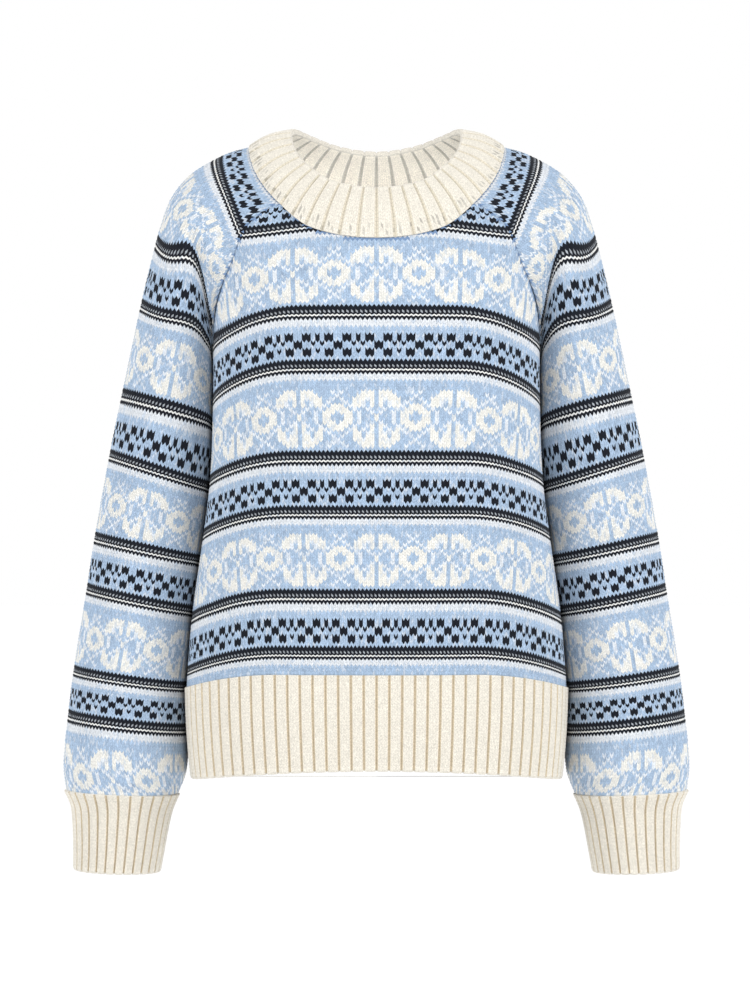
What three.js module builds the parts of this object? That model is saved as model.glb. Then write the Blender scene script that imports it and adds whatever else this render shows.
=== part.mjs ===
// A fair isle jumper with raglan sleeves and ribbed hem, cuffs and neckband, filled out
// as it is when worn, with no wearer. Millimetres, +Z up, the front faces -Y and +X is
// the wearer's left. The origin is the middle of the wearer's neck, level with the
// shoulders that carry the garment.
//
// The knitted panels are measured by knitted row: row 0 is the first dark row of the
// yoke stripe, rows count downwards, and every panel is a wall laid out row by row.
import * as THREE from "three";

// Wall thicknesses, the gap left at each seam and how far a rib stands proud
const WALL = 3;
const RIB_WALL = 3.2;
const RIB_RAISE = 1.6;
const SEAM_GAP = 0.32;
const HEM_SEAM_GAP = 0.5;

// Rows where the panels begin and end
const NECK_ROW = -12;
const UNDERARM_ROW = 30;
const HEM_ROW = 141;

// Ribs in half the hem, in a cuff and in the neckband, and the share of a rib that its
// flat top takes
const HEM_RIBS = 42;
const CUFF_RIBS = 28;
const NECK_RIBS = 44;
const RIB_TOP_SHARE = 0.78;

// Depth and height of each row at the centre front and centre back
const SPINE = [
  { row: -12, frontY: -87, frontZ: -22, backY: 90, backZ: 1 },
  { row: 0, frontY: -93, frontZ: -58, backY: 101, backZ: -42 },
  { row: 15, frontY: -103, frontZ: -104, backY: 108, backZ: -96 },
  { row: 30, frontY: -110, frontZ: -149, backY: 111, backZ: -150 },
  { row: 44, frontY: -113, frontZ: -191, backY: 109, backZ: -195 },
  { row: 71, frontY: -113, frontZ: -274, backY: 104, backZ: -278 },
  { row: 88, frontY: -111, frontZ: -325, backY: 102, backZ: -329 },
  { row: 115, frontY: -110, frontZ: -401, backY: 105, backZ: -405 },
  { row: 132, frontY: -112, frontZ: -454, backY: 109, backZ: -458 },
  { row: 141, frontY: -113, frontZ: -479, backY: 110, backZ: -483 },
];

// The body's rings are flattened ellipses: 2 would be a plain ellipse
const RING_POWER = 2.5;

// Side seams below the underarm
const SIDE_Y = 5;
const SIDE = [
  { row: 30, half: 155, z: -176 },
  { row: 44, half: 154.8, z: -219.5 },
  { row: 71, half: 157.5, z: -295.5 },
  { row: 88, half: 163.5, z: -347 },
  { row: 115, half: 174.5, z: -425 },
  { row: 132, half: 179, z: -477 },
  { row: 141, half: 180, z: -496 },
];

// The hem rib, from where it joins the panels to its free edge
const HEM = [
  { down: 0, half: 180, sideZ: -496, frontY: -113, frontZ: -479, backY: 110, backZ: -483 },
  { down: 0.35, half: 179, sideZ: -526, frontY: -113, frontZ: -510, backY: 110, backZ: -514 },
  { down: 0.7, half: 177, sideZ: -556, frontY: -111, frontZ: -540, backY: 108, backZ: -544 },
  { down: 1, half: 174.5, sideZ: -580.5, frontY: -108, frontZ: -566, backY: 105, backZ: -570 },
];

// The sleeve by row. "top" is the line along the shoulder and the outside of the arm, "in"
// the inside of the arm, or the middle of the raglan chord above the underarm. "depth" is
// half the sleeve front to back, "open" the angle from the top line to the seam, "lean"
// how much higher the back seam is, and "bow" how far each row rises out of the armpit.
const SLEEVE = [
  { row: -12, topX: 120.5, topY: 2, topZ: 15, inX: 92.5, inY: 1, inZ: -17, depth: 69, open: 64, lean: 25.6, bow: 0 },
  { row: 0, topX: 147, topY: 6, topZ: 8, inX: 122.5, inY: 1, inZ: -45, depth: 64, open: 84, lean: 20, bow: 2 },
  { row: 10, topX: 178, topY: 10, topZ: -9, inX: 135, inY: 2, inZ: -84.5, depth: 60, open: 106, lean: 12, bow: 10 },
  { row: 18, topX: 196.5, topY: 13, topZ: -32, inX: 146.3, inY: 3, inZ: -117, depth: 60, open: 131, lean: 6, bow: 26 },
  { row: 25, topX: 206, topY: 15, topZ: -58, inX: 153, inY: 4.5, inZ: -150, depth: 60, open: 156, lean: 2, bow: 44 },
  { row: 30, topX: 211, topY: 16, topZ: -76, inX: 155, inY: 5, inZ: -176, depth: 60.5, open: 180, lean: 0, bow: 52 },
  { row: 44, topX: 223.7, topY: 20, topZ: -127, inX: 151, inY: 18, inZ: -190, depth: 61, open: 180, lean: 0, bow: 26 },
  { row: 58, topX: 234.5, topY: 23, topZ: -176, inX: 150.5, inY: 24, inZ: -219, depth: 61, open: 180, lean: 0, bow: 10 },
  { row: 71, topX: 244.6, topY: 25, topZ: -223, inX: 151.5, inY: 27, inZ: -251, depth: 61, open: 180, lean: 0, bow: 2 },
  { row: 88, topX: 254.6, topY: 27, topZ: -271, inX: 155, inY: 29, inZ: -303, depth: 61, open: 180, lean: 0, bow: 0 },
  { row: 115, topX: 269.3, topY: 28, topZ: -351.5, inX: 164.5, inY: 30, inZ: -374, depth: 61.5, open: 180, lean: 0, bow: 0 },
  { row: 132, topX: 277, topY: 27, topZ: -402, inX: 170.5, inY: 29, inZ: -424, depth: 62, open: 180, lean: 0, bow: 0 },
  { row: 159, topX: 289, topY: 24, topZ: -478, inX: 176.5, inY: 26, inZ: -494, depth: 62.5, open: 180, lean: 0, bow: 0 },
  { row: 176, topX: 295, topY: 21, topZ: -528, inX: 178, inY: 22, inZ: -541, depth: 61.5, open: 180, lean: 0, bow: 0 },
  { row: 188, topX: 298.5, topY: 18, topZ: -568, inX: 181.5, inY: 18, inZ: -576, depth: 57.5, open: 180, lean: 0, bow: 0 },
  { row: 198, topX: 296, topY: 15, topZ: -594, inX: 189.5, inY: 15, inZ: -598, depth: 50, open: 180, lean: 0, bow: 0 },
];

// How near the armpit the sleeve's rows rise most: 1 would be halfway round
const ARMPIT_BIAS = 1.75;

// The cuff, from where it joins the sleeve to its free edge
const CUFF = [
  { down: 0, topX: 296, topZ: -594, inX: 189.5, inZ: -598, y: 15, depth: 50 },
  { down: 0.18, topX: 290, topZ: -607.5, inX: 195.5, inZ: -611.5, y: 15, depth: 44 },
  { down: 0.4, topX: 288, topZ: -623, inX: 199.5, inZ: -627, y: 14, depth: 40.5 },
  { down: 0.7, topX: 287, topZ: -647, inX: 203.8, inZ: -650, y: 13, depth: 38 },
  { down: 1, topX: 287, topZ: -668.5, inX: 207.6, inZ: -671, y: 12, depth: 36.5 },
];

const HEM_LENGTH = HEM[0].frontZ - HEM[3].frontZ;
const CUFF_LENGTH = CUFF[0].topZ - CUFF[4].topZ;

// The neckline round the neck, 0 at centre front and 180 at centre back: heights of the
// seam where the neckband is picked up, and of the band's free rim. The first and last
// lines repeat the other side's, so the loop runs level over its two centres.
const NECK_SEAM = { half: 120.5, sideY: 2, frontY: -97, backY: 96 };
const NECK_RIM = { half: 82, sideY: 0, frontY: -80, backY: 68 };
const NECK_HEIGHTS = [
  { angle: -30, seamZ: -66, rimZ: -23 },
  { angle: 0, seamZ: -76.5, rimZ: -30 },
  { angle: 30, seamZ: -66, rimZ: -23 },
  { angle: 50, seamZ: -40, rimZ: -8 },
  { angle: 70, seamZ: -11, rimZ: 10 },
  { angle: 80, seamZ: 4, rimZ: 20 },
  { angle: 90, seamZ: 15, rimZ: 28 },
  { angle: 100, seamZ: 19, rimZ: 33 },
  { angle: 112, seamZ: 16.5, rimZ: 34.5 },
  { angle: 130, seamZ: 6, rimZ: 30.5 },
  { angle: 155, seamZ: -8, rimZ: 22 },
  { angle: 180, seamZ: -13, rimZ: 18 },
  { angle: 205, seamZ: -8, rimZ: 22 },
];
const NECKBAND_HEIGHT = 44;
const NECKBAND_BULGE = 3.5;
const NECKBAND_WALL = 4;

// Sleeves hang against the body, and stay this far off it below the underarm. Where one
// would reach further in, its side is flattened, with an edge this soft.
const ARM_CLEARANCE = 1.1;
const CLEARANCE_FADE_ROWS = 8;
const ARM_EDGE_SOFTNESS = 6;
const LEAST_SOFTNESS = 0.01;

// Over how many rows the yoke takes up the neckline's form, and leaves the underarm alone
const YOKE_FADE_ROWS = 20;
const UNDERARM_KEEP_ROWS = 6;

// Where along its turn a body row begins to droop towards the side, and over how much of
// the turn it does so. The hem's free edge droops sooner.
const DROOP_START = 0.33;
const DROOP_SPAN = 0.69;
const HEM_DROOP_POWER = 1.5;

// The height above the hem rib over which the sleeves make room for the rib's ridges
const RIDGE_ROOM_HEIGHT = 12;

// How finely each wall is faceted
const PANEL_COLUMNS = 22;
const PANEL_ROWS = [141, 132, 122, 112, 101, 90, 79, 68, 58, 49, 41, 35, 30];
const YOKE_STEPS = 7;
const SLEEVE_COLUMNS = 20;
const SLEEVE_ROWS = [
  198, 194, 189, 182, 172, 159, 145, 130, 115, 101, 88, 76, 65, 54, 44, 36, 30, 24, 18, 12, 6, 0, -6, -12,
];
const WELT_BANDS = 3;
const CUFF_BANDS = 5;

const DEGREE = Math.PI / 180;
const smoothStep = (x) => {
  const t = Math.min(1, Math.max(0, x));
  return t * t * (3 - 2 * t);
};

// A smooth curve through one column of a table, against its first column
function curve(table, column) {
  const key = Object.keys(table[0])[0];
  const xs = table.map((line) => line[key]);
  const ys = table.map((line) => line[column]);
  const last = xs.length - 1;
  const slopes = ys.map((_, i) => {
    const a = Math.max(0, i - 1);
    const b = Math.min(last, i + 1);
    return (ys[b] - ys[a]) / (xs[b] - xs[a]);
  });
  return (x) => {
    let i = 0;
    while (i < last - 1 && x > xs[i + 1]) i += 1;
    const width = xs[i + 1] - xs[i];
    const t = (x - xs[i]) / width;
    const rise = (ys[i + 1] - ys[i]) / width;
    if (t < 0) return ys[i] + slopes[i] * (x - xs[i]);
    if (t > 1) return ys[i + 1] + slopes[i + 1] * (x - xs[i + 1]);
    const bend = slopes[i] + slopes[i + 1] - 2 * rise;
    return ys[i] + width * t * (slopes[i] + t * (3 * rise - 2 * slopes[i] - slopes[i + 1] + t * bend));
  };
}

// Every column of a table as a curve, under the column's name
const curves = (table) =>
  Object.fromEntries(Object.keys(table[0]).slice(1).map((column) => [column, curve(table, column)]));

const spine = curves(SPINE);
const side = curves(SIDE);
const hem = curves(HEM);
const sleeve = curves(SLEEVE);
const cuff = curves(CUFF);
const neck = curves(NECK_HEIGHTS);

// A point of the neckline loop, on the seam or on the rim, at an angle from centre front
function loopPoint(loop, heightOf, angle) {
  const turn = angle * DEGREE;
  const reach = Math.cos(turn) > 0 ? loop.sideY - loop.frontY : loop.backY - loop.sideY;
  return new THREE.Vector3(
    loop.half * Math.sin(turn),
    loop.sideY - reach * Math.cos(turn),
    heightOf(Math.abs(angle)),
  );
}
const neckSeam = (angle) => loopPoint(NECK_SEAM, neck.seamZ, angle);
const neckRim = (angle) => loopPoint(NECK_RIM, neck.rimZ, angle);

// Where a falling curve passes a height, between two ends
const HEIGHT_STEPS = 8000;
function whereAt(heightOf, z, low, high) {
  let above = low;
  let below = high;
  while (below - above > (high - low) / HEIGHT_STEPS) {
    const middle = (above + below) / 2;
    if (heightOf(middle) > z) above = middle;
    else below = middle;
  }
  return above;
}

// How far the body or its hem rib reaches sideways at a depth y and height z
function bodyReach(y, z) {
  const inHem = z < side.z(HEM_ROW);
  const table = inHem ? hem : { ...spine, half: side.half };
  const at = inHem ? whereAt(hem.sideZ, z, 0, 1) : whereAt(side.z, z, UNDERARM_ROW, HEM_ROW);
  const depth = y < SIDE_Y ? table.frontY(at) : table.backY(at);
  const share = Math.min(1, Math.abs((y - SIDE_Y) / (depth - SIDE_Y)));
  const nearRidges = smoothStep((side.z(HEM_ROW) + RIDGE_ROOM_HEIGHT - z) / RIDGE_ROOM_HEIGHT);
  return table.half(at) * (1 - share ** RING_POWER) ** (1 / RING_POWER) + nearRidges * RIB_RAISE;
}

// The left sleeve: across runs from -1 at the front seam over the arm to 1 at the back
function sleeveOwn(across, row) {
  const open = sleeve.open(row) * DEGREE;
  const top = new THREE.Vector3(sleeve.topX(row), sleeve.topY(row), sleeve.topZ(row));
  const inside = new THREE.Vector3(sleeve.inX(row), sleeve.inY(row), sleeve.inZ(row));
  const centre = inside.clone().addScaledVector(top, -Math.cos(open)).divideScalar(1 - Math.cos(open));
  const turn = across * open;
  const point = centre.clone().addScaledVector(top.sub(centre), Math.cos(turn));
  point.y += sleeve.depth(row) * Math.sin(turn);
  const risen = Math.sin(Math.PI * Math.abs(across) ** ARMPIT_BIAS) ** 2;
  point.z += sleeve.lean(row) * Math.sin(turn) + sleeve.bow(row) * risen;
  return point;
}

const RAGLAN_ANGLE = Math.asin(SLEEVE[0].inX / NECK_SEAM.half) / DEGREE;

function sleevePoint(across, row) {
  const point = sleeveOwn(across, row);
  const fade = smoothStep((NECK_ROW + YOKE_FADE_ROWS - row) / YOKE_FADE_ROWS);
  if (fade > 0) {
    const angle = 90 + across * (90 - RAGLAN_ANGLE);
    point.addScaledVector(neckSeam(angle).sub(sleeveOwn(across, NECK_ROW)), fade);
  }
  if (row > UNDERARM_ROW) {
    const near = smoothStep((row - UNDERARM_ROW) / CLEARANCE_FADE_ROWS);
    const limit = bodyReach(point.y, point.z) + SEAM_GAP + (ARM_CLEARANCE - SEAM_GAP) * near;
    const soft = ARM_EDGE_SOFTNESS * near + LEAST_SOFTNESS;
    const over = (limit - point.x) / soft;
    if (over > -1) point.x += over > 1 ? limit - point.x : (soft * (over + 1) ** 2) / 4;
  }
  return point;
}

// Where a body row ends: on the raglan seam above the underarm, on the side seam below
function rowEnd(isBack, row) {
  if (row <= UNDERARM_ROW) return sleevePoint(isBack ? 1 : -1, row);
  return new THREE.Vector3(side.half(row), SIDE_Y, side.z(row));
}

// How much of its droop a row has reached by a share of its turn
const panelDroop = (share) => smoothStep((share - DROOP_START) / DROOP_SPAN);
const hemEdgeDroop = (share) => 1 - Math.max(0, Math.cos(share * 90 * DEGREE)) ** HEM_DROOP_POWER;

// One point of a body row that starts at the centre and ends at the side. Its droop is
// faceted like the panels, so the hem rib meets them with an even gap.
function alongRow(across, centreY, centreZ, end, droop) {
  const depth = SIDE_Y - centreY;
  const endShare = Math.min(1, Math.max(0, (SIDE_Y - end.y) / depth));
  const width = end.x / (1 - endShare ** RING_POWER) ** (1 / RING_POWER);
  const lastTurn = Math.atan2(end.x / width, endShare);
  const plainTurn = Math.acos(endShare);
  const at = (share) => {
    const turn = Math.abs(share) * lastTurn;
    const out = (Math.sin(turn) ** RING_POWER + Math.abs(Math.cos(turn)) ** RING_POWER) ** (-1 / RING_POWER);
    return { x: width * out * Math.sin(turn), y: SIDE_Y - depth * out * Math.cos(turn) };
  };
  const droopAt = (column) => {
    const sine = (at((2 * column) / PANEL_COLUMNS).x / end.x) * Math.sin(plainTurn);
    return droop(Math.asin(Math.min(1, sine)) / plainTurn);
  };
  const place = Math.min(PANEL_COLUMNS / 2 - 1e-9, (Math.abs(across) * PANEL_COLUMNS) / 2);
  const column = Math.floor(place);
  const reached = droopAt(column) + (droopAt(column + 1) - droopAt(column)) * (place - column);
  const { x, y } = at(across);
  return new THREE.Vector3(Math.sign(across) * x, y, centreZ + (end.z - centreZ) * reached);
}

function bodyOwn(isBack, across, row) {
  const centreY = isBack ? spine.backY(row) : spine.frontY(row);
  const centreZ = isBack ? spine.backZ(row) : spine.frontZ(row);
  return alongRow(across, centreY, centreZ, rowEnd(isBack, row), panelDroop);
}

const loopAngleAt = (isBack, x) => {
  const angle = Math.asin(Math.min(1, Math.abs(x) / NECK_SEAM.half)) / DEGREE;
  return isBack ? 180 - angle : angle;
};

// Past this share of its way across, a point counts as on the seam
const ON_SEAM = 0.999;

// The row where a body column meets the neckline
const ROW_PRECISION = 0.005;
function topRow(isBack, across) {
  let low = NECK_ROW;
  let high = UNDERARM_ROW;
  while (high - low > ROW_PRECISION) {
    const middle = (low + high) / 2;
    const point = bodyOwn(isBack, across, middle);
    if (point.z > neck.seamZ(loopAngleAt(isBack, point.x))) low = middle;
    else high = middle;
  }
  return Math.abs(across) > ON_SEAM ? NECK_ROW : low;
}

function bodyPoint(isBack, across, row) {
  const point = bodyOwn(isBack, across, row);
  if (row < UNDERARM_ROW) {
    const top = topRow(isBack, across);
    const atTop = bodyOwn(isBack, across, top);
    const onLoop = neckSeam(loopAngleAt(isBack, atTop.x));
    const fade = 1 - smoothStep((row - top) / YOKE_FADE_ROWS);
    const keepUnderarm = smoothStep((UNDERARM_ROW - row) / UNDERARM_KEEP_ROWS);
    point.y += (onLoop.y - atTop.y) * fade * keepUnderarm;
  }
  return point;
}

// The hem rib, across its front or back half
function hemPoint(isBack, across, down) {
  const end = new THREE.Vector3(hem.half(down), SIDE_Y, hem.sideZ(down));
  const centreY = isBack ? hem.backY(down) : hem.frontY(down);
  const centreZ = isBack ? hem.backZ(down) : hem.frontZ(down);
  const droop = (share) => panelDroop(share) * (1 - down) + hemEdgeDroop(share) * down;
  return alongRow(across, centreY, centreZ, end, droop);
}

// The left cuff, round from the outside of the arm
function cuffPoint(turnShare, down) {
  const turn = turnShare * 2 * Math.PI;
  const centreX = (cuff.topX(down) + cuff.inX(down)) / 2;
  const centreZ = (cuff.topZ(down) + cuff.inZ(down)) / 2;
  return new THREE.Vector3(
    centreX + (cuff.topX(down) - centreX) * Math.cos(turn),
    cuff.y(down) + cuff.depth(down) * Math.sin(turn),
    centreZ + (cuff.topZ(down) - centreZ) * Math.cos(turn),
  );
}

// The outward normal of a surface given by two numbers
function normalOf(surface, a, b, stepA, stepB) {
  const alongA = surface(a + stepA, b).sub(surface(a - stepA, b));
  const alongB = surface(a, b + stepB).sub(surface(a, b - stepB));
  return alongA.cross(alongB).normalize();
}
const STEP_ACROSS = 0.004;
const STEP_ROW = 0.2;
const STEP_BAND = 0.02;
// Rows count downwards, so across x down points into the garment on the front, and out of
// it on the back, which runs the same way across but faces the other way
const bodyNormal = (isBack, across, row) => {
  const inner = Math.sign(across || 1) * Math.min(Math.abs(across), 1 - STEP_ACROSS);
  const n = normalOf((a, r) => bodyPoint(isBack, a, r), inner, row, STEP_ACROSS, STEP_ROW);
  return n.multiplyScalar(isBack ? 1 : -1);
};
const sleeveNormal = (across, row) => {
  const inner = Math.sign(across || 1) * Math.min(Math.abs(across), 1 - STEP_ACROSS);
  return normalOf(sleevePoint, inner, row, STEP_ACROSS, STEP_ROW).multiplyScalar(-1);
};

// A wall direction laid into the plane where the sleeve ends and the cuff begins
const CUFF_AXIS = new THREE.Vector3(CUFF[0].inX - CUFF[0].topX, 0, CUFF[0].inZ - CUFF[0].topZ)
  .cross(new THREE.Vector3(0, 1, 0))
  .normalize();
const intoCuffPlane = (normal) => normal.addScaledVector(CUFF_AXIS, -normal.dot(CUFF_AXIS)).normalize();

// The direction a neckband wall is thick in, at its seam or rim
function neckbandNormal(angle) {
  const along = neckSeam(angle + 1).sub(neckSeam(angle - 1));
  const up = neckRim(angle).sub(neckSeam(angle));
  return along.cross(up).normalize();
}

// The wall direction that two pieces share at a seam: the middle one, or each its own
// where the cloth doubles back on itself in the armpit. The numbers are cosines of the
// angle between them, where sharing begins and how much more it takes to be whole.
const SHARING_FROM = -0.2;
const SHARING_SPAN = 0.6;
function sharedNormal(own, other) {
  const agree = own.dot(other);
  const share = Math.min(1, Math.max(0, (agree - SHARING_FROM) / SHARING_SPAN));
  return own.clone().addScaledVector(other, share).normalize();
}

// Turns grids of outer and inner points into one closed wall. Both grids have the same
// number of lines; an outer line may have several points for each inner one. A wall that
// wraps is a tube, open at its two ends.
function wallGeometry(outer, inner, wraps) {
  const lines = outer.length;
  const outerCount = outer[0].length;
  const innerCount = inner[0].length;
  const outerSteps = wraps ? outerCount : outerCount - 1;
  const innerSteps = wraps ? innerCount : innerCount - 1;
  const finer = outerSteps / innerSteps;
  const positions = [];
  outer.forEach((line) => line.forEach((p) => positions.push(p.x, p.y, p.z)));
  inner.forEach((line) => line.forEach((p) => positions.push(p.x, p.y, p.z)));
  const out = (j, i) => j * outerCount + (i % outerCount);
  const into = (j, i) => lines * outerCount + j * innerCount + (i % innerCount);
  const index = [];
  const apart = (a, b) => Math.hypot(...[0, 1, 2].map((k) => positions[3 * a + k] - positions[3 * b + k]));
  const quad = (a, b, c, d) => {
    if (apart(a, c) <= apart(b, d)) index.push(a, b, c, a, c, d);
    else index.push(a, b, d, b, c, d);
  };
  for (let j = 0; j < lines - 1; j += 1) {
    for (let i = 0; i < outerSteps; i += 1) quad(out(j, i), out(j, i + 1), out(j + 1, i + 1), out(j + 1, i));
    for (let i = 0; i < innerSteps; i += 1) quad(into(j, i), into(j + 1, i), into(j + 1, i + 1), into(j, i + 1));
  }
  // The two long edges
  for (const j of [0, lines - 1]) {
    const flip = j > 0;
    const face = (a, b, c) => (flip ? index.push(a, c, b) : index.push(a, b, c));
    for (let i = 0; i < innerSteps; i += 1) {
      const half = Math.floor(finer / 2);
      for (let k = 0; k < finer; k += 1) {
        const near = k < half || finer === 1 ? i : i + 1;
        face(out(j, i * finer + k + 1), out(j, i * finer + k), into(j, finer === 1 ? i : near));
      }
      face(out(j, i * finer + (finer === 1 ? 1 : half)), into(j, i), into(j, i + 1));
    }
  }
  // The two short edges
  if (!wraps) {
    for (let j = 0; j < lines - 1; j += 1) {
      quad(out(j, 0), out(j + 1, 0), into(j + 1, 0), into(j, 0));
      quad(out(j + 1, outerSteps), out(j, outerSteps), into(j, innerSteps), into(j + 1, innerSteps));
    }
  }
  const geometry = new THREE.BufferGeometry();
  geometry.setAttribute("position", new THREE.Float32BufferAttribute(positions, 3));
  geometry.setIndex(index);
  geometry.computeVertexNormals();
  return geometry;
}

// Moves a border point off its seam, into its own panel and into the wall. A neighbour
// across from it, this share of the way out, gives the direction.
const NEAR_SEAM = 0.97;
function offSeam(point, neighbour, normal) {
  const into = neighbour.clone().sub(point);
  into.addScaledVector(normal, -into.dot(normal)).normalize();
  return point.clone().addScaledVector(into, SEAM_GAP / 2).addScaledVector(normal, -SEAM_GAP / 2);
}

// A front or back body panel, from the hem rib to the neckline
function bodyPanel(isBack) {
  const outer = [];
  const inner = [];
  const steps = PANEL_ROWS.length - 1 + YOKE_STEPS;
  for (let j = 0; j <= steps; j += 1) {
    const outerLine = [];
    const innerLine = [];
    for (let i = 0; i <= PANEL_COLUMNS; i += 1) {
      const across = (2 * i) / PANEL_COLUMNS - 1;
      const yokeStep = j - (PANEL_ROWS.length - 1);
      const isTop = yokeStep === YOKE_STEPS;
      const isSide = Math.abs(across) === 1;
      let row = PANEL_ROWS[Math.min(j, PANEL_ROWS.length - 1)];
      if (yokeStep > 0) row += ((topRow(isBack, across) - UNDERARM_ROW) * yokeStep) / YOKE_STEPS;
      let point = bodyPoint(isBack, across, row);
      const own = bodyNormal(isBack, across, Math.max(row, NECK_ROW + STEP_ROW));
      let thick = own;
      if (isSide && row > UNDERARM_ROW) thick = new THREE.Vector3(Math.sign(across), 0, 0);
      if (isSide && row <= UNDERARM_ROW) {
        const other = sleeveNormal(isBack ? 1 : -1, Math.max(row, NECK_ROW + STEP_ROW));
        other.x *= Math.sign(across);
        thick = sharedNormal(own, other);
      }
      if (isTop) thick = neckbandNormal(Math.sign(across || 1) * loopAngleAt(isBack, point.x));
      if (isSide) {
        point = offSeam(point, bodyPoint(isBack, across * NEAR_SEAM, row), thick);
      }
      if (isTop || j === 0) {
        const along = across * (isSide ? ON_SEAM : 1);
        point = offSeam(point, bodyPoint(isBack, along, row + (isTop ? 1 : -1)), thick);
      }
      outerLine.push(point);
      innerLine.push(point.clone().addScaledVector(thick, -WALL));
    }
    outer.push(isBack ? outerLine.reverse() : outerLine);
    inner.push(isBack ? innerLine.reverse() : innerLine);
  }
  return wallGeometry(outer, inner, false);
}

// The left sleeve, from the cuff to the neckline, its edges meeting under the arm
function sleevePanel() {
  const outer = [];
  const inner = [];
  SLEEVE_ROWS.forEach((row, j) => {
    const outerLine = [];
    const innerLine = [];
    for (let i = 0; i <= SLEEVE_COLUMNS; i += 1) {
      const across = (2 * i) / SLEEVE_COLUMNS - 1;
      const isTop = j === SLEEVE_ROWS.length - 1;
      const isSeam = Math.abs(across) === 1;
      let point = sleevePoint(across, row);
      const own = sleeveNormal(across, Math.max(row, NECK_ROW + STEP_ROW));
      let thick = own;
      if (isSeam && row <= UNDERARM_ROW) {
        thick = sharedNormal(own, bodyNormal(across > 0, 1, Math.max(row, NECK_ROW + STEP_ROW)));
      }
      if (isTop) thick = neckbandNormal(90 + across * (90 - RAGLAN_ANGLE));
      if (j === 0) thick = intoCuffPlane(thick);
      if (isSeam) point = offSeam(point, sleevePoint(across * NEAR_SEAM, row), thick);
      if (isTop || j === 0) {
        const along = across * (isSeam ? ON_SEAM : 1);
        point = offSeam(point, sleevePoint(along, row + (isTop ? 1 : -1)), thick);
      }
      outerLine.push(point);
      innerLine.push(point.clone().addScaledVector(thick, -WALL));
    }
    outer.push(outerLine);
    inner.push(innerLine);
  });
  return wallGeometry(outer, inner, false);
}

// Where the points of one rib lie across it: a groove, then the two edges of its flat top
const RIB_POINTS = [
  { share: 0, raise: 0 },
  { share: (1 - RIB_TOP_SHARE) / 2, raise: 1 },
  { share: (1 + RIB_TOP_SHARE) / 2, raise: 1 },
];

// Shares along a line that part it into equal lengths
const EVEN_SAMPLES = 720;
function evenShares(line) {
  const lengths = [0];
  for (let i = 1; i <= EVEN_SAMPLES; i += 1) {
    const step = line((i - 1) / EVEN_SAMPLES).distanceTo(line(i / EVEN_SAMPLES));
    lengths.push(lengths[i - 1] + step);
  }
  return (share) => {
    if (share <= 0 || share >= 1) return share;
    const wanted = share * lengths[EVEN_SAMPLES];
    const i = lengths.findIndex((length) => length > wanted);
    return (i - 1 + (wanted - lengths[i - 1]) / (lengths[i] - lengths[i - 1])) / EVEN_SAMPLES;
  };
}

// A ribbed wall, its ribs evenly spaced by length. surface and normal take (share along
// the line that the ribs cross, down). inset is the share left clear for the seam above.
function ribbedWall({ surface, normal, ribs, bands, wall, wraps, inset, flip }) {
  const outer = [];
  const inner = [];
  const even = evenShares((share) => surface(share, 0.5));
  for (let j = 0; j <= bands; j += 1) {
    const down = inset + ((1 - inset) * (bands - j)) / bands;
    const outerLine = [];
    const innerLine = [];
    const lastRib = wraps ? ribs : ribs + 1;
    for (let rib = 0; rib < lastRib; rib += 1) {
      const groove = surface(even(rib / ribs), down);
      const grooveNormal = normal(even(rib / ribs), down);
      innerLine.push(groove.clone().addScaledVector(grooveNormal, -wall));
      RIB_POINTS.forEach(({ share, raise }) => {
        if (rib === ribs && share > 0) return;
        const along = even((rib + share) / ribs);
        const raised = surface(along, down).addScaledVector(normal(along, down), raise * RIB_RAISE);
        outerLine.push(raised);
      });
    }
    outer.push(flip ? outerLine.reverse() : outerLine);
    inner.push(flip ? innerLine.reverse() : innerLine);
  }
  return wallGeometry(outer, inner, wraps);
}

// Half of the hem rib. Its ends stand off the side seams by half the seam gap.
function hemRib(isBack) {
  const reach = 1 - SEAM_GAP / 2 / HEM[0].half;
  const surface = (share, down) => hemPoint(isBack, (2 * share - 1) * reach, down);
  const normal = (share, down) => {
    const held = Math.min(Math.max(down, STEP_ACROSS), 1 - STEP_ACROSS);
    if (share === 0 || share === 1) return new THREE.Vector3(share * 2 - 1, 0, 0);
    return normalOf(surface, share, held, STEP_ACROSS / 2, STEP_ACROSS).multiplyScalar(isBack ? 1 : -1);
  };
  return ribbedWall({
    surface,
    normal,
    ribs: HEM_RIBS,
    bands: WELT_BANDS,
    wall: RIB_WALL,
    wraps: false,
    inset: HEM_SEAM_GAP / HEM_LENGTH,
    flip: isBack,
  });
}

function cuffRib() {
  const normal = (share, down) => {
    const held = Math.min(Math.max(down, STEP_ACROSS), 1 - STEP_ACROSS);
    const own = normalOf(cuffPoint, share, held, STEP_ACROSS, STEP_ACROSS).multiplyScalar(-1);
    return down < STEP_BAND ? intoCuffPlane(own) : own;
  };
  return ribbedWall({
    surface: cuffPoint,
    normal,
    ribs: CUFF_RIBS,
    bands: CUFF_BANDS,
    wall: RIB_WALL,
    wraps: true,
    inset: SEAM_GAP / CUFF_LENGTH,
    flip: false,
  });
}

// The neckband rolls a little outwards between its seam and its rim. The last band of it
// ends at the seam gap, and is thick in the panels' direction there.
const wrapped = (share) => (share > 0.5 ? share - 1 : share) * 360;
function neckbandPoint(share, down) {
  const angle = wrapped(share);
  const seam = neckSeam(angle);
  const bulge = NECKBAND_BULGE * Math.sin(Math.PI * down);
  return neckRim(angle).lerp(seam, down).addScaledVector(neckbandNormal(angle), bulge);
}

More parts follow.
